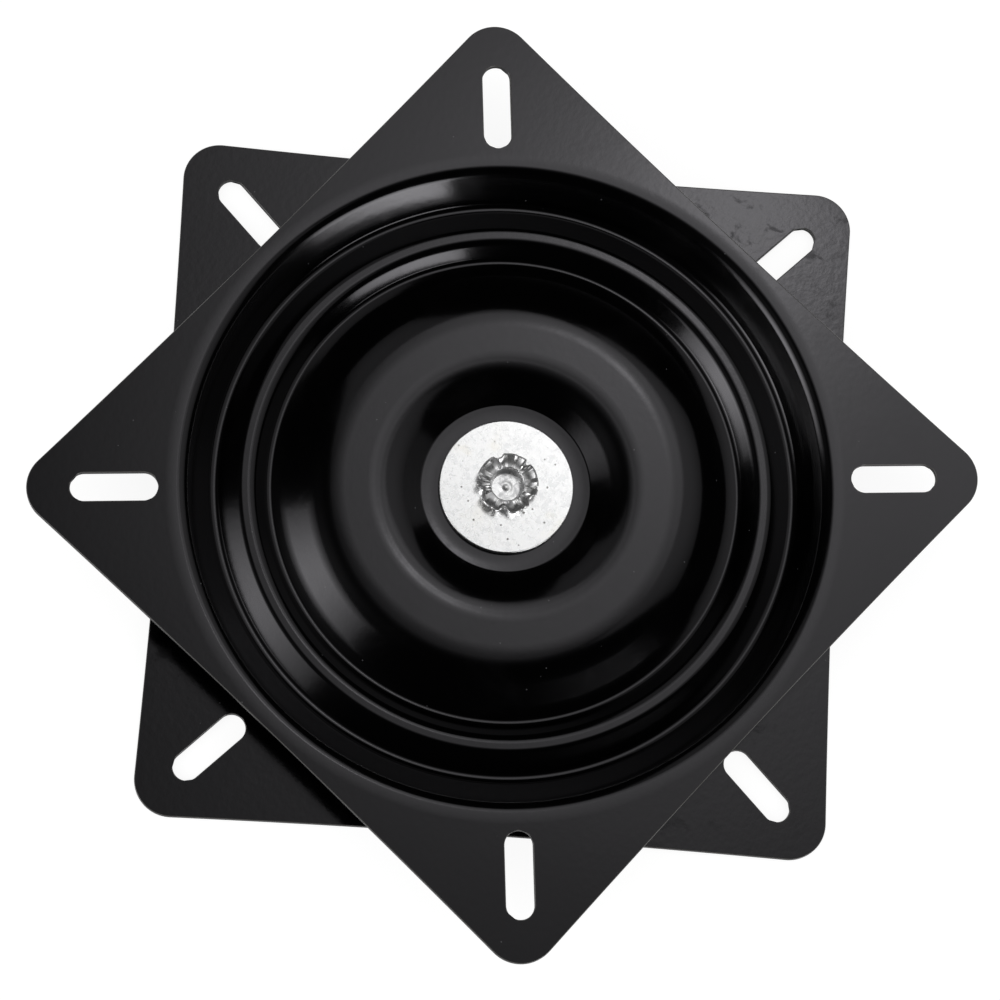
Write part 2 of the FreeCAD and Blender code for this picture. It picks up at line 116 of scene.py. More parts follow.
def bent_line(bends, straight_step=1.6 * MM, turn_step=math.radians(5)):
    """Points and upward normals along straight runs joined by tangent arcs.

    At each bend the arc starts the bend radius times the tangent of half the turn
    before the corner, and ends as far after it.
    """
    corners, radii = bends[:, :2], bends[:, 2]
    runs = unit(np.diff(corners, axis=0))
    points, normals = [corners[:1]], [np.array([[-runs[0, 1], runs[0, 0]]])]
    for i in range(1, len(corners) - 1):
        before, after = runs[i - 1], runs[i]
        turn = math.atan2(before[0] * after[1] - before[1] * after[0], before @ after)
        sign = math.copysign(1, turn)
        start = corners[i] - before * radii[i] * math.tan(abs(turn) / 2)
        left = np.array([-before[1], before[0]])
        centre = start + left * radii[i] * sign
        steps = max(3, math.ceil(abs(turn) / turn_step))
        angle = np.linspace(0, turn, steps + 1)[:, None]
        normal = left * np.cos(angle) - before * np.sin(angle)
        arc = centre - normal * radii[i] * sign
        fill_straight(points, normals, arc[0], normal[0], straight_step)
        points.append(arc)
        normals.append(normal)
    fill_straight(points, normals, corners[-1], normal[-1], straight_step)
    points.append(corners[-1:])
    normals.append(normal[-1:])
    return np.concatenate(points), np.concatenate(normals)


def fill_straight(points, normals, end, normal, step):
    """Adds evenly spaced points between the last point and the end of a straight run."""
    start = points[-1][-1]
    count = int(np.linalg.norm(end - start) / step)
    share = np.linspace(0, 1, count + 2)[1:-1, None]
    points.append(start + (end - start) * share)
    normals.append(np.repeat(normal[None], count, axis=0))


def grid_faces(rows, columns):
    """Quads between neighbouring rows of a grid, whose columns close on themselves."""
    row, column = np.meshgrid(np.arange(rows - 1), np.arange(columns), indexing="ij")
    following = (column + 1) % columns
    quad = [row * columns + column, row * columns + following,
            (row + 1) * columns + following, (row + 1) * columns + column]
    return np.stack(quad, axis=-1).reshape(-1, 4)


def turned(points, normals, count, turn=0.0):
    """A profile carried round the axis: x = r cos t, y = r sin t, z as in the profile."""
    heading = np.arange(count) * 2 * math.pi / count + turn
    ring = np.stack([np.cos(heading), np.sin(heading)], axis=-1)

    def around(pairs):
        flat = pairs[:, None, :1] * ring[None]
        return np.concatenate([flat, np.repeat(pairs[:, None, 1:], count, axis=1)], axis=-1)
    return around(points).reshape(-1, 3), around(normals).reshape(-1, 3), grid_faces(len(points), count)


def outline_loop(turn):
    """The plate's outline: on each side an arc that bows inwards, at each corner a round one.

    The side's circle lies outside the plate at a heading of 45 degrees and touches the
    corner's circle, whose centre lies on the corner's own axis.
    """
    sag = EDGE_BOW * (HALF_WIDTH / (HALF_WIDTH - CORNER_RADIUS)) ** 2
    reach = HALF_WIDTH - EDGE_BOW + sag
    side_radius = (reach ** 2 + sag ** 2) / (2 * sag)
    away = side_radius + reach - sag
    spread = (side_radius + CORNER_RADIUS) ** 2
    corner_at = (math.sqrt(2) * away - math.sqrt(4 * spread - 2 * away ** 2)) / 2
    side_centre = away * np.array([math.cos(math.pi / 4), math.sin(math.pi / 4)])
    corner_centre = np.array([corner_at, 0.0])
    lean = math.atan2(*(side_centre - corner_centre)[::-1])
    heading = np.linspace(-lean, lean, CORNER_STEPS)
    corner_out = np.stack([np.cos(heading), np.sin(heading)], axis=-1)
    corner = corner_centre + corner_out * CORNER_RADIUS
    sweep = math.pi + lean
    heading = np.linspace(sweep, 1.5 * math.pi - lean, SIDE_STEPS)[1:-1]
    side_out = -np.stack([np.cos(heading), np.sin(heading)], axis=-1)
    side = side_centre - side_out * side_radius
    quarter = np.concatenate([corner, side]), np.concatenate([corner_out, side_out])
    return quarter_turns(*quarter, turn)


def quarter_turns(points, outwards, turn):
    """Repeats a stretch of a loop at every quarter turn."""
    loop, out = [], []
    for i in range(AXIS_SIDES):
        rotate = rotation(turn + i * math.pi / 2)
        loop.append(points @ rotate.T)
        out.append(outwards @ rotate.T)
    return np.concatenate(loop), np.concatenate(out)


def rotation(angle):
    c, s = math.cos(angle), math.sin(angle)
    return np.array([[c, -s], [s, c]])


def slot_loop(turn):
    """One slot: two half circles joined by straight sides, and directions into the slot."""
    straight = (SLOT_LENGTH - SLOT_WIDTH) / 2
    heading = np.linspace(-math.pi / 2, math.pi / 2, SLOT_END_STEPS)
    cap = np.stack([np.cos(heading), np.sin(heading)], axis=-1)
    loop = np.concatenate([cap * SLOT_WIDTH / 2 + (straight, 0), -cap * SLOT_WIDTH / 2 - (straight, 0)])
    loop = loop + (SLOT_RADIUS, 0)
    out = -np.concatenate([cap, -cap])
    rotate = rotation(turn)
    return loop @ rotate.T, out @ rotate.T


def cut_edge(loop, out, top):
    """The edge of a cut, from the top face round a small radius, down the wall and under.

    The section is a quarter circle, the wall and a second quarter circle, and it is
    carried along the loop, which runs with the metal behind it. The last array marks the
    cut: a half on the upper rounding, one on the wall.
    """
    angle = np.linspace(0, math.pi / 2, RIM_STEPS)[:, None]
    upper = np.concatenate([np.sin(angle), np.cos(angle)], axis=1)
    lower = np.concatenate([np.cos(angle), -np.sin(angle)], axis=1)
    section = np.concatenate([upper * CUT_ROUND + (-CUT_ROUND, -CUT_ROUND),
                              lower * CUT_ROUND + (-CUT_ROUND, CUT_ROUND - SHEET)])
    facing = np.concatenate([upper, lower])

    def along(pairs, base):
        flat = base[None] + pairs[:, None, :1] * out[None]
        return np.concatenate([flat, np.repeat(pairs[:, None, 1:], len(loop), axis=1)], axis=-1)
    points = along(section, loop).reshape(-1, 3) + (0, 0, top)
    normals = along(facing, np.zeros_like(loop)).reshape(-1, 3)
    rounding = [0] + [0.5] * (RIM_STEPS - 2)
    marks = np.repeat(rounding + [1] * (len(section) - len(rounding)), len(loop))
    return points, normals, grid_faces(len(section), len(loop)), marks


def flat_sheet(loops, hole_radius, hole_count, turn, level, up):
    """The flat flange between the pressed rings and the cut edges, as triangles.

    The triangles span the circle, the outline and the slots, all set back by the cut's
    rounding, and those whose middle lies in the circle or in a slot are left out.
    """
    heading = np.arange(hole_count) * 2 * math.pi / hole_count + turn
    rings = [np.stack([np.cos(heading), np.sin(heading)], axis=-1) * hole_radius]
    rings += [loop - out * CUT_ROUND for loop, out in loops]
    edges, start = [], 0
    for ring in rings:
        index = np.arange(len(ring))
        edges += np.stack([start + index, start + (index + 1) % len(ring)], axis=-1).tolist()
        start += len(ring)
    flat = np.concatenate(rings)
    found = delaunay_2d_cdt([Vector(p) for p in flat / MM], edges, [], INSIDE_EDGES, SAME_POINT)
    points = flat[[origin[0] for origin in found[3]]]
    faces = np.array([f for f in found[2] if len(f) == 3])
    middle = points[faces].mean(axis=1)
    keep = np.hypot(middle[:, 0], middle[:, 1]) > hole_radius * OUTSIDE
    for loop, _ in loops[1:]:
        keep &= beside_slot(middle, loop.mean(axis=0))
    faces = faces[keep]
    a, b, c = points[faces[:, 0]], points[faces[:, 1]], points[faces[:, 2]]
    area = (b - a)[:, 0] * (c - a)[:, 1] - (b - a)[:, 1] * (c - a)[:, 0]
    wrong = area < 0 if up else area > 0
    faces[wrong] = faces[wrong][:, ::-1]
    solid = np.concatenate([points, np.full((len(points), 1), level)], axis=1)
    normal = np.tile((0.0, 0.0, 1.0 if up else -1.0), (len(points), 1))
    return solid, normal, faces


def beside_slot(points, centre):
    """Whether each point is farther than half the slot's width from its middle line."""
    along = centre / np.linalg.norm(centre)
    offset = points - centre
    lengthwise = np.abs(offset @ along)
    across = np.abs(offset @ np.array([-along[1], along[0]]))
    beyond = np.maximum(lengthwise - (SLOT_LENGTH - SLOT_WIDTH) / 2, 0)
    return np.hypot(across, beyond) > SLOT_WIDTH / 2


def make_mesh(name, parts, merge=2e-6):
    """One closed mesh of several surfaces, whose shared points are merged.

    Each part is points, normals and faces, and the marks of a cut if it has one. Points
    that fall together become one, and its normal is the mean of theirs.
    """
    marks = np.concatenate([part[3] if len(part) > 3 else np.zeros(len(part[0])) for part in parts])
    points = np.concatenate([part[0] for part in parts])
    normals = np.concatenate([part[1] for part in parts])
    shift = np.cumsum([0] + [len(part[0]) for part in parts[:-1]])
    faces = [part[2] + s for part, s in zip(parts, shift)]
    key = np.round(points / merge).astype(np.int64)
    first, same = np.unique(key, axis=0, return_index=True, return_inverse=True)[1:]
    same = same.reshape(-1)
    total = np.zeros((len(first), 3))
    np.add.at(total, same, normals)
    cut = np.ones(len(first))
    np.minimum.at(cut, same, marks)
    points, normals = points[first], unit(total)
    corners = np.concatenate([same[f].reshape(-1) for f in faces])
    sizes = np.concatenate([np.full(len(f), f.shape[1]) for f in faces])
    mesh = bpy.data.meshes.new(name)
    mesh.vertices.add(len(points))
    mesh.vertices.foreach_set("co", points.reshape(-1))
    mesh.loops.add(len(corners))
    mesh.loops.foreach_set("vertex_index", corners)
    mesh.polygons.add(len(sizes))
    mesh.polygons.foreach_set("loop_start", np.cumsum(sizes) - sizes)
    mesh.polygons.foreach_set("use_smooth", np.ones(len(sizes), bool))
    mesh.update(calc_edges=True)
    mesh.validate()
    mesh.normals_split_custom_set_from_vertices(normals)
    mesh.attributes.new("cut", "FLOAT", "POINT").data.foreach_set("value", cut)
    piece = bpy.data.objects.new(name, mesh)
    bpy.context.scene.collection.objects.link(piece)
    return piece


def pressed_plate(name, bends, top, turn, count):
    """A whole pressed plate: rings of parallel upper and under surfaces, and a cut flange."""
    points, normals = bent_line(bends)
    bore = bends[0, 0]
    points[0, 0] = bore + CUT_ROUND
    under = points - normals * SHEET
    upper_ring = turned(points, normals, count, turn)
    under_ring = turned(under, -normals, count, turn)
    heading = np.arange(count) * 2 * math.pi / count + turn
    circle = np.stack([np.cos(heading), np.sin(heading)], axis=-1)
    loops = [outline_loop(turn)] + [slot_loop(turn + i * math.pi / 2) for i in range(AXIS_SIDES)]
    parts = [
        upper_ring[:2] + (upper_ring[2][:, ::-1],),
        under_ring,
        cut_edge(circle * bore, -circle, bends[0, 1]),
        flat_sheet(loops, FLAT_FROM, count, turn, top, True),
        flat_sheet(loops, FLAT_FROM, count, turn, top - SHEET, False),
        reversed_part(cut_edge(*loops[0], top)),
    ]
    parts += [cut_edge(loop, out, top) for loop, out in loops[1:]]
    return make_mesh(name, parts)


def reversed_part(part):
    """The same surface with its faces turned round, for a loop that runs the other way."""
    points, normals, faces, marks = part
    return points, normals, faces[:, ::-1], marks


def fan(ring, middle, normal, up):
    """Triangles between a ring of points and the point in its middle."""
    count = len(ring)
    points = np.concatenate([ring, [middle]])
    normals = np.tile(normal, (count + 1, 1)).astype(float)
    index = np.arange(count)
    faces = np.stack([index, (index + 1) % count, np.full(count, count)], axis=-1)
    return points, normals, faces if up else faces[:, ::-1]


# The camera as it stood over the plates: how far, how tilted and turned, and how far aside
CAMERA_DISTANCE = 0.8618
CAMERA_TILT = math.radians(12.38)
TILT_BEARING = math.radians(65.43)
CAMERA_SPIN = math.radians(41.03)
CAMERA_OFFSET = np.array([2.097, 4.480, 0.0]) * MM
FOCAL_LENGTH = 121.7  # millimetres, with the sensor below
SENSOR = 36.0

# The rivet, with heights from the frame
SHANK_RADIUS = 6.0 * MM
HEAD_RADIUS = 10.0 * MM
HEAD_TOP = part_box("bottom_washer")[0].z
HEAD_EDGE = 1.2 * MM
HEAD_CHAMFER = 0.2 * MM
SHANK_FILLET = 0.1 * MM
MOUTH_RADIUS = 4.3 * MM
RIM_RADIUS = 7.95 * MM
RIM_ROUND = 0.35 * MM
HOLLOW_RADIUS = 3.75 * MM
HOLLOW_FLOOR = WASHER_HIGH - 1.0 * MM
MOUTH_LEVEL = RIVET_HIGH - 1.3 * MM
NECK_LEVEL = WASHER_HIGH + 0.6 * MM

# The crimped end. Gaps: bearing in the picture, half width in degrees, depth in millimetres
CRIMP_GAPS = ((46, 4, 0.9), (107, 8, 0.8), (171, 4, 0.5), (196, 9, 1.1), (235, 3, 0.2),
              (262, 11, 1.2), (296, 3, 0.2), (325, 9, 0.9), (352, 3, 0.25))
CREASES = 28
CREASE_HEIGHT = 0.34 * MM
CREASE_SCATTER = 0.38  # most that a crease is off its even place, in steps
CREASE_LEAST = 0.35  # lowest crease, as a share of the height
CREASE_SEED = 11
PETAL_DIP = 0.35 * MM  # hollow of the petals' upper side
FLARE_POWER = 1.6  # of the height, by which the flare widens
HOLLOW_POWER = 0.6  # of the depth, by which the wall curves in


def crimp(heading):
    """Depth of the gaps and height of the creases at each heading.

    A gap falls off as e to the power -(angle / half width) to the fourth. The height runs
    straight between creases of random height, up and down by turns.
    """
    random = np.random.default_rng(CREASE_SEED)
    bearing = np.degrees(heading) + math.degrees(CAMERA_SPIN)
    gap = np.zeros(len(heading))
    for centre, half, depth in CRIMP_GAPS:
        apart = (bearing - centre + 180) % 360 - 180
        gap += depth * MM * np.exp(-(apart / half) ** 4)
    order = np.arange(CREASES)
    at = (order + random.uniform(-CREASE_SCATTER, CREASE_SCATTER, CREASES)) * 360 / CREASES
    height = CREASE_HEIGHT * random.uniform(CREASE_LEAST, 1, CREASES) * np.where(order % 2, 1, -1)
    return gap, np.interp(np.degrees(heading), at, height, period=360)


def turned_rings():
    """Radius and level of each ring of the head and shank: a quarter circle, then straight runs."""
    for turn in np.linspace(0, math.pi / 2, 7):
        inset, rise = HEAD_EDGE * (1 - math.sin(turn)), HEAD_EDGE * (1 - math.cos(turn))
        yield HEAD_RADIUS - inset, RIVET_LOW + rise
    yield HEAD_RADIUS, HEAD_TOP - HEAD_CHAMFER
    yield HEAD_RADIUS - HEAD_CHAMFER, HEAD_TOP
    yield SHANK_RADIUS + SHANK_FILLET, HEAD_TOP
    yield SHANK_RADIUS, HEAD_TOP + SHANK_FILLET
    yield SHANK_RADIUS, WASHER_HIGH


def staked_rings(gap, crease):
    """Radius and level of each ring of the staked end, at every heading.

    The flare widens with a power of its height, the rim is half a circle, the petals sag as
    half a sine wave towards the mouth, and the wall curves in to the hollow's floor. Gaps
    and creases move the rim most and the mouth less.
    """
    rim = RIM_RADIUS - gap - 0.15 * np.abs(crease)
    rim_level = RIVET_HIGH - CREASE_HEIGHT - 0.5 * gap + crease
    mouth = MOUTH_RADIUS + 0.35 * crease - 0.08 * gap
    mouth_level = MOUTH_LEVEL - 0.3 * gap + 0.25 * crease
    flare = rim - RIM_ROUND * 0.3 - SHANK_RADIUS
    rise = rim_level - 2 * RIM_ROUND - NECK_LEVEL
    for share in np.linspace(0, 1, 7):
        yield SHANK_RADIUS + flare * share ** FLARE_POWER, NECK_LEVEL + rise * share
    for turn in np.linspace(-math.pi / 2, math.pi / 2, 9)[1:]:
        yield rim - RIM_ROUND * (1 - math.cos(turn)), rim_level - RIM_ROUND * (1 - math.sin(turn))
    shoulder = rim - RIM_ROUND
    for share in np.linspace(0, 1, 13)[1:]:
        sag = PETAL_DIP * math.sin(math.pi * share)
        level = rim_level + (mouth_level - rim_level) * share - sag
        yield shoulder + (mouth - shoulder) * share, level
    for share in np.linspace(0, 1, 9)[1:]:
        level = mouth_level + (HOLLOW_FLOOR - mouth_level) * share
        yield mouth + (HOLLOW_RADIUS - mouth) * share ** HOLLOW_POWER, level
    for radius in np.linspace(HOLLOW_RADIUS, 0, 22)[1:-1]:
        yield radius, HOLLOW_FLOOR + punch_mark(radius)


def crimped_rivet(name, count=360):
    """The whole rivet: rings of points from the head's face over the rim into the hollow.

    Normals are the cross product of the grid's steps around and along it.
    """
    heading = np.arange(count) * 2 * math.pi / count
    circle = np.stack([np.cos(heading), np.sin(heading)], axis=-1)
    rows = []
    for radius, level in (*turned_rings(), *staked_rings(*crimp(heading))):
        flat = circle * np.broadcast_to(radius, count)[:, None]
        rows.append(np.concatenate([flat, np.broadcast_to(level, count)[:, None]], axis=1))
    grid = np.array(rows)
    along = np.gradient(grid, axis=0)
    around = np.roll(grid, -1, axis=1) - np.roll(grid, 1, axis=1)
    normals = unit(np.cross(around, along))
    return make_mesh(name, [
        (grid.reshape(-1, 3), normals.reshape(-1, 3), grid_faces(len(rows), count)),
        fan(grid[0], (0, 0, RIVET_LOW), (0, 0, -1), False),
        fan(grid[-1], (0, 0, HOLLOW_FLOOR + punch_mark(0)), (0, 0, 1), True),
    ])


def punch_mark(radius):
    """The mark in the hollow's floor: a small dome inside a shallow ring."""
    dome = 0.13 * math.exp(-(radius / (0.55 * MM)) ** 2)
    ring = 0.05 * math.exp(-((radius - 1.15 * MM) / (0.4 * MM)) ** 2)
    return (dome - ring) * MM


# Finishes: each shared effect is a node group, placed in a material with its own values
SHEEN = (0.97, 0.95, 1.0, 1)  # the paint's faint violet cast
PAINT_BLACK = (0.0004, 0.0004, 0.0005)
PAINT_SMUDGED = (0.0012, 0.0012, 0.0013)
DUST_COLOUR = (0.05, 0.05, 0.052)
# Paler colour of the rounded cut rims: thin paint there, and also a painted highlight along the edge
RIM_PALE_PAINT_AND_HIGHLIGHT = (0.07, 0.068, 0.065)
ZINC_BRIGHT = (0.99, 0.99, 0.99)
ZINC_CLOUDY = (0.94, 0.945, 0.95)
ZINC_STAINED = (0.95, 0.93, 0.87)
ZINC_PIT = (0.2, 0.19, 0.18)


def calculate(tree, operation, first, second=None, clamp=False):
    """A Math node between sockets or numbers, given by its result."""
    node = tree.nodes.new("ShaderNodeMath")
    node.operation = operation
    node.use_clamp = clamp
    for socket, value in zip(node.inputs, (first, second)):
        if isinstance(value, bpy.types.NodeSocket):
            tree.links.new(value, socket)
        elif value is not None:
            socket.default_value = value
    return node.outputs[0]


def effect(name, inputs, output):
    """An empty node group with named number inputs and one named output."""
    tree = bpy.data.node_groups.new(name, "ShaderNodeTree")
    for label, value in inputs.items():
        socket = tree.interface.new_socket(name=label, in_out="INPUT", socket_type="NodeSocketFloat")
        socket.default_value = value
    tree.interface.new_socket(name=output, in_out="OUTPUT", socket_type="NodeSocketFloat")
    return tree, tree.nodes.new("NodeGroupInput").outputs, tree.nodes.new("NodeGroupOutput").inputs


def object_noise(tree, scale, detail, rough=0.55, warp=0.0):
    """Noise over Object coordinates, with a scale in waves a metre."""
    place = tree.nodes.new("ShaderNodeTexCoord")
    noise = tree.nodes.new("ShaderNodeTexNoise")
    noise.inputs["Detail"].default_value = detail
    noise.inputs["Roughness"].default_value = rough
    noise.inputs["Distortion"].default_value = warp
    tree.links.new(place.outputs["Object"], noise.inputs["Vector"])
    tree.links.new(scale, noise.inputs["Scale"])
    return noise.outputs["Fac"]


def ripple_effect():
    """Height of a fine even ripple, in metres: orange peel in paint, grain in metal."""
    tree, given, result = effect("ripple", {"Waves": 500.0, "Height": 4e-6}, "Height")
    noise = object_noise(tree, given["Waves"], 2.0)
    tree.links.new(calculate(tree, "MULTIPLY", noise, given["Height"]), result["Height"])
    return tree


def smudge_effect():
    """A soft patchy mask between two levels of a broken noise."""
    tree, given, result = effect("smudge", {"Waves": 60.0, "From": 0.5, "To": 0.7}, "Mask")
    noise = object_noise(tree, given["Waves"], 5.0, 0.62, 0.6)
    ramp = tree.nodes.new("ShaderNodeMapRange")
    ramp.interpolation_type = "SMOOTHSTEP"
    tree.links.new(noise, ramp.inputs["Value"])
    tree.links.new(given["From"], ramp.inputs["From Min"])
    tree.links.new(given["To"], ramp.inputs["From Max"])
    tree.links.new(ramp.outputs["Result"], result["Mask"])
    return tree


def speck_effect():
    """A mask of small round specks, in the given share of the cells."""
    tree, given, result = effect("specks", {"Cells": 900.0, "Radius": 0.2, "Share": 0.1}, "Mask")
    place = tree.nodes.new("ShaderNodeTexCoord")
    cells = tree.nodes.new("ShaderNodeTexVoronoi")
    tree.links.new(place.outputs["Object"], cells.inputs["Vector"])
    tree.links.new(given["Cells"], cells.inputs["Scale"])
    tone = tree.nodes.new("ShaderNodeSeparateColor")
    tree.links.new(cells.outputs["Color"], tone.inputs["Color"])
    outwards = calculate(tree, "DIVIDE", cells.outputs["Distance"], given["Radius"])
    inside = calculate(tree, "SUBTRACT", 1.0, outwards, True)
    chosen = calculate(tree, "LESS_THAN", tone.outputs["Red"], given["Share"])
    soft = calculate(tree, "MULTIPLY", inside, 3.0, True)
    tree.links.new(calculate(tree, "MULTIPLY", soft, chosen), result["Mask"])
    return tree


RIPPLE, SMUDGE, SPECKS = ripple_effect(), smudge_effect(), speck_effect()


def place_effect(tree, group, **values):
    node = tree.nodes.new("ShaderNodeGroup")
    node.node_tree = group
    for label, value in values.items():
        node.inputs[label].default_value = value
    return node.outputs[0]


def blend(tree, mask, first, second):
    """A colour between two, by a mask."""
    mix = tree.nodes.new("ShaderNodeMix")
    mix.data_type = "RGBA"
    colours = [socket for socket in mix.inputs if socket.type == "RGBA"]
    for socket, value in zip(colours, (first, second)):
        if isinstance(value, bpy.types.NodeSocket):
            tree.links.new(value, socket)
        else:
            socket.default_value = (*value, 1)
    tree.links.new(mask, mix.inputs["Factor"])
    return [socket for socket in mix.outputs if socket.type == "RGBA"][0]


def between(tree, mask, low, high):
    """A number that runs from low to high with a mask."""
    return calculate(tree, "ADD", calculate(tree, "MULTIPLY", mask, high - low), low)


def bump(tree, surface, height):
    """Heights in metres as a Bump node on a surface's Normal."""
    relief = tree.nodes.new("ShaderNodeBump")
    relief.inputs["Strength"].default_value = 1.0
    relief.inputs["Distance"].default_value = 1.0
    tree.links.new(height, relief.inputs["Height"])
    tree.links.new(relief.outputs["Normal"], surface.inputs["Normal"])


def finish(name, metallic=0.0):
    made = bpy.data.materials.new(name)
    made.use_nodes = True
    surface = made.node_tree.nodes["Principled BSDF"]
    surface.inputs["Metallic"].default_value = metallic
    return made, made.node_tree, surface


def black_paint(name, marks):
    """Satin black stoving paint: orange peel, soft smudges and marks, dust, and thin rims with a
    painted highlight.

    On the rounded rims the paint is thin and paler, and the paler colour also stands in for a painted
    highlight along the edge; the cut walls are dull.
    """
    made, tree, surface = finish(name)
    smudges = place_effect(tree, SMUDGE, Waves=45.0, From=0.5, To=0.74)
    spots = place_effect(tree, SMUDGE, Waves=170.0, From=0.56, To=0.7)
    dust = place_effect(tree, SPECKS, Cells=420.0, Radius=0.09, Share=0.05)
    cut = tree.nodes.new("ShaderNodeAttribute")
    cut.attribute_name = "cut"
    wall = calculate(tree, "MULTIPLY", calculate(tree, "SUBTRACT", cut.outputs["Fac"], 0.5), 2.0, True)
    # The rim mask lays the paler rim colour on the upper rounding of each cut: thin paint and a painted
    # highlight
    rim = calculate(tree, "SUBTRACT", calculate(tree, "MULTIPLY", cut.outputs["Fac"], 2.0, True), wall)
    colour = blend(tree, smudges, PAINT_BLACK, PAINT_SMUDGED)
    dusty = blend(tree, dust, colour, DUST_COLOUR)
    tree.links.new(blend(tree, rim, dusty, RIM_PALE_PAINT_AND_HIGHLIGHT), surface.inputs["Base Color"])
    marked = calculate(tree, "MULTIPLY", spots, marks)
    rough = calculate(tree, "ADD", between(tree, smudges, 0.13, 0.17), marked)
    dull = calculate(tree, "MULTIPLY", wall, 0.4)
    tree.links.new(calculate(tree, "ADD", rough, dull), surface.inputs["Roughness"])
    tree.links.new(between(tree, wall, 0.5, 0.1), surface.inputs["Specular IOR Level"])
    surface.inputs["Specular Tint"].default_value = SHEEN
    bump(tree, surface, place_effect(tree, RIPPLE, Waves=560.0, Height=4e-6 + 1.2e-4 * marks))
    return made


def zinc_plate():
    """Bright zinc: a soft grain, cloudy tone, warm stains and a few dark pits."""
    made, tree, surface = finish("zinc_plate", 1.0)
    cloud = place_effect(tree, SMUDGE, Waves=700.0, From=0.4, To=0.72)
    stain = place_effect(tree, SMUDGE, Waves=90.0, From=0.52, To=0.8)
    pits = place_effect(tree, SPECKS, Cells=900.0, Radius=0.28, Share=0.045)
    colour = blend(tree, cloud, ZINC_BRIGHT, ZINC_CLOUDY)
    stained = blend(tree, stain, colour, ZINC_STAINED)
    tree.links.new(blend(tree, pits, stained, ZINC_PIT), surface.inputs["Base Color"])
    tree.links.new(between(tree, cloud, 0.26, 0.29), surface.inputs["Roughness"])
    bump(tree, surface, place_effect(tree, RIPPLE, Waves=1500.0, Height=4e-6))
    return made


def crimped_zinc():
    """The zinc of the rivet, dulled in cloudy patches."""
    made, tree, surface = finish("crimped_zinc", 0.93)
    cloud = place_effect(tree, SMUDGE, Waves=500.0, From=0.42, To=0.7)
    colour = blend(tree, cloud, (0.95, 0.95, 0.95), (0.78, 0.78, 0.79))
    tree.links.new(colour, surface.inputs["Base Color"])
    tree.links.new(between(tree, cloud, 0.24, 0.38), surface.inputs["Roughness"])
    bump(tree, surface, place_effect(tree, RIPPLE, Waves=900.0, Height=1.2e-5))
    return made


def ball_steel():
    """Polished steel balls with a thin patchy film of grease."""
    made, tree, surface = finish("ball_steel", 1.0)
    grease = place_effect(tree, SMUDGE, Waves=180.0, From=0.45, To=0.65)
    colour = blend(tree, grease, (0.76, 0.77, 0.78), (0.55, 0.5, 0.4))
    tree.links.new(colour, surface.inputs["Base Color"])
    tree.links.new(between(tree, grease, 0.06, 0.3), surface.inputs["Roughness"])
    return made


def nylon():
    """Natural nylon: faintly mottled and dull."""
    made, tree, surface = finish("nylon")
    cloud = place_effect(tree, SMUDGE, Waves=220.0, From=0.35, To=0.75)
    colour = blend(tree, cloud, (0.82, 0.8, 0.74), (0.7, 0.67, 0.58))
    tree.links.new(colour, surface.inputs["Base Color"])
    tree.links.new(between(tree, cloud, 0.38, 0.52), surface.inputs["Roughness"])
    bump(tree, surface, place_effect(tree, RIPPLE, Waves=900.0, Height=4e-6))
    return made


def dress(piece, made):
    piece.data.materials.clear()
    piece.data.materials.append(made)


for node, body, bends, face, turn, count, marks in (
        ("top_plate", "top", TOP_BENDS, TOP_FACE, PLATE_TURN, 360, 0.03),
        ("base_plate", "base", BASE_BENDS, BASE_FACE, 0.0, 320, 0.11)):
    plate = pressed_plate(f"pressed_{node}", bends, face, turn, count)
    dress(plate, black_paint(f"black_paint_{body}", marks))
    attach(plate, body)
    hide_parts(node)

rivet = crimped_rivet("crimped_rivet")
dress(rivet, crimped_zinc())
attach(rivet, "base")
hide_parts("centre_rivet")

zinc = zinc_plate()
for node in ("top_washer", "bottom_washer"):
    dress(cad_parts[node], zinc)
dress(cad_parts["spacer_washer"], nylon())
steel = ball_steel()
for name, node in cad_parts.items():
    if name.startswith("ball_"):
        dress(node, steel)


def camera():
    axis = np.array([-math.sin(TILT_BEARING), math.cos(TILT_BEARING), 0.0])
    tilt = np.array(Matrix.Rotation(CAMERA_TILT, 3, Vector(axis)))
    view = tilt @ np.array(Matrix.Rotation(CAMERA_SPIN, 3, "Z"))
    place = view.T @ (np.array([0, 0, CAMERA_DISTANCE]) - CAMERA_OFFSET) + (0, 0, TOP_FACE)
    data = bpy.data.cameras.new("camera")
    data.sensor_width = SENSOR
    data.lens = FOCAL_LENGTH
    data.clip_start = 0.01
    holder = bpy.data.objects.new("camera", data)
    holder.matrix_world = Matrix.Translation(Vector(place)) @ Matrix(view.T.tolist()).to_4x4()
    bpy.context.scene.collection.objects.link(holder)
    bpy.context.scene.camera = holder


camera()

# Lamps: bearing in the picture and elevation in degrees, distance, width and height in metres,
# roll in degrees, brightness, and the hot spot's bearing, elevation and spread in degrees
LAMPS = {
    "left_softbox": (196, 31, 1.3, 0.9, 0.88, 0, 4.3, (197, 25, 12)),
    "lower_softbox": (304, 13.4, 1.3, 0.74, 0.74, 0, 5.6, (297, 7, 19)),
    "back_reflector": (62, 71, 1.3, 0.66, 0.66, 0, 1.3, (62, 68, 9)),
    "side_reflector": (17, 50, 1.3, 1.1, 1.0, -22, 0.5, (28, 56, 22)),
    "upper_card": (113, 53, 1.3, 0.46, 0.84, 15, 0.28, (113, 56, 20)),
}
# Faint glows of the room: bearing, elevation and spread in degrees, strength
GLOWS = ((60, 71.3, 1.2, 6.0), (60, 77.5, 4.5, 0.25), (66, 84, 7, 0.34), (28, 77, 4.5, 0.22),
         (190, 58, 9, 0.14))
ROOM = 0.008
FILL = 0.6
HORIZON = 0.03  # height of the backdrop's sweep, as the sine of its elevation
FLOOR_REACH = 4.0
FLOOR_DROP = 0.02 * MM  # keeps the floor clear of the base plate's underside
FLOOR_TONE = 0.2
FLOOR_WHITE = 0.88


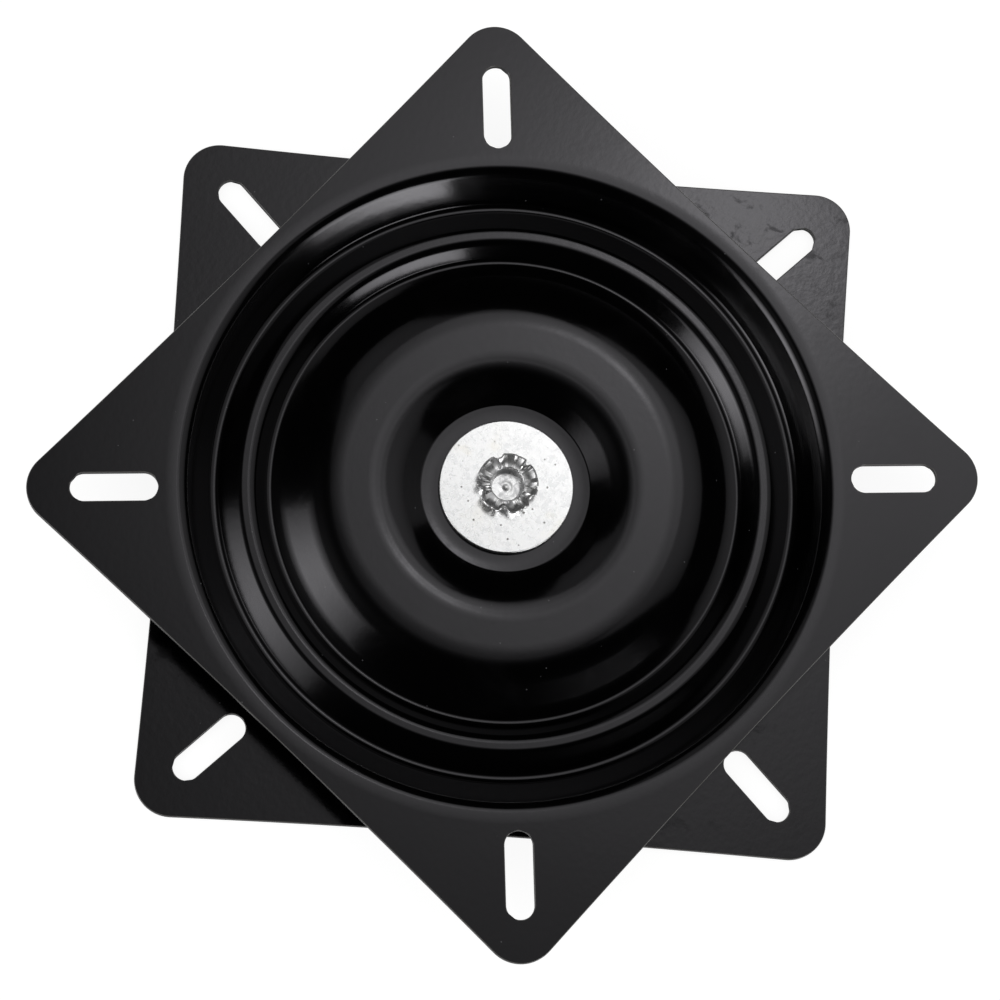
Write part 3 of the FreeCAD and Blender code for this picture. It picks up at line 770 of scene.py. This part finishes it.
def towards(bearing, elevation):
    """Unit vector to a bearing in the picture and an elevation above the plates."""
    heading = math.radians(bearing) - CAMERA_SPIN
    rise = math.radians(elevation)
    flat = math.cos(rise)
    return Vector((math.cos(heading) * flat, math.sin(heading) * flat, math.sin(rise)))


def hot_spot(tree, direction, bearing, elevation, spread):
    """A round fall-off on the sky: e to the power (cos a - 1) / spread squared, a being the angle."""
    cosine = tree.nodes.new("ShaderNodeVectorMath")
    cosine.operation = "DOT_PRODUCT"
    cosine.inputs[1].default_value = towards(bearing, elevation)
    tree.links.new(direction, cosine.inputs[0])
    less = calculate(tree, "SUBTRACT", cosine.outputs["Value"], 1.0)
    return calculate(tree, "EXPONENT", calculate(tree, "MULTIPLY", less, math.radians(spread) ** -2))


def lamp(name, bearing, elevation, distance, width, height, roll, brightness, spot):
    """A card of light that faces the plates, brightest at its hot spot."""
    away = towards(bearing, elevation)
    data = bpy.data.lights.new(name, "AREA")
    data.shape = "RECTANGLE"
    data.size, data.size_y = width, height
    data.energy = brightness * math.pi * width * height
    data.use_nodes = True
    tree = data.node_tree
    place = tree.nodes.new("ShaderNodeNewGeometry")
    from_middle = tree.nodes.new("ShaderNodeVectorMath")
    from_middle.operation = "NORMALIZE"
    tree.links.new(place.outputs["Position"], from_middle.inputs[0])
    strength = hot_spot(tree, from_middle.outputs["Vector"], *spot)
    tree.links.new(strength, tree.nodes["Emission"].inputs["Strength"])
    holder = bpy.data.objects.new(name, data)
    holder.location = away * distance + Vector((0, 0, TOP_FACE))
    facing = (-away).to_track_quat("-Z", "Y")
    holder.rotation_euler = (facing @ Quaternion((0, 0, 1), math.radians(roll))).to_euler()
    holder.visible_camera = False
    bpy.context.scene.collection.objects.link(holder)


for name, values in LAMPS.items():
    lamp(name, *values)


def floor():
    """A pale floor that shows white, but for the object's shadow, and is clear from below."""
    half, level = FLOOR_REACH, -FLOOR_DROP
    mesh = bpy.data.meshes.new("floor")
    corners = [(-half, -half, level), (half, -half, level), (half, half, level), (-half, half, level)]
    mesh.from_pydata(corners, [], [(0, 1, 2, 3)])
    ground = bpy.data.objects.new("floor", mesh)
    bpy.context.scene.collection.objects.link(ground)
    made, tree, surface = finish("floor")
    surface.inputs["Base Color"].default_value = (FLOOR_TONE, FLOOR_TONE, FLOOR_TONE, 1)
    surface.inputs["Roughness"].default_value = 0.8
    surface.inputs["Specular IOR Level"].default_value = 0.0
    surface.inputs["Emission Color"].default_value = (1, 1, 1, 1)
    clear = calculate(tree, "MULTIPLY", background_rays(tree), FLOOR_WHITE)
    tree.links.new(clear, surface.inputs["Emission Strength"])
    side = tree.nodes.new("ShaderNodeNewGeometry")
    mix = tree.nodes.new("ShaderNodeMixShader")
    tree.links.new(side.outputs["Backfacing"], mix.inputs[0])
    tree.links.new(surface.outputs["BSDF"], mix.inputs[1])
    tree.links.new(tree.nodes.new("ShaderNodeBsdfTransparent").outputs["BSDF"], mix.inputs[2])
    tree.links.new(mix.outputs["Shader"], tree.nodes["Material Output"].inputs["Surface"])
    mesh.materials.append(made)


def background_rays(tree):
    """One for the rays that show the background: the camera's, mirrored and passed on ones."""
    path = tree.nodes.new("ShaderNodeLightPath")
    seen = calculate(tree, "ADD", path.outputs["Is Camera Ray"], path.outputs["Is Glossy Ray"])
    return calculate(tree, "ADD", seen, path.outputs["Is Transmission Ray"], True)


floor()


def studio():
    """The room: white behind the object and low round it, dim with faint glows above."""
    world = bpy.data.worlds.new("studio")
    bpy.context.scene.world = world
    world.use_nodes = True
    tree = world.node_tree
    view = tree.nodes.new("ShaderNodeTexCoord").outputs["Generated"]
    room = ROOM
    for bearing, elevation, spread, strength in GLOWS:
        glow = calculate(tree, "MULTIPLY", hot_spot(tree, view, bearing, elevation, spread), strength)
        room = calculate(tree, "ADD", glow, room)
    path = tree.nodes.new("ShaderNodeLightPath")
    fill = calculate(tree, "MULTIPLY", path.outputs["Is Diffuse Ray"], FILL)
    filled = calculate(tree, "ADD", room, fill)
    height = tree.nodes.new("ShaderNodeSeparateXYZ")
    tree.links.new(view, height.inputs[0])
    low = calculate(tree, "LESS_THAN", height.outputs["Z"], HORIZON)
    sweep = calculate(tree, "MULTIPLY", background_rays(tree), low)
    behind = calculate(tree, "MAXIMUM", path.outputs["Is Camera Ray"], sweep)
    strength = calculate(tree, "MAXIMUM", filled, behind)
    backdrop = tree.nodes["Background"]
    tree.links.new(strength, backdrop.inputs["Strength"])
    backdrop.inputs["Color"].default_value = (1, 1, 1, 1)


studio()
bpy.context.scene.view_settings.view_transform = "Standard"
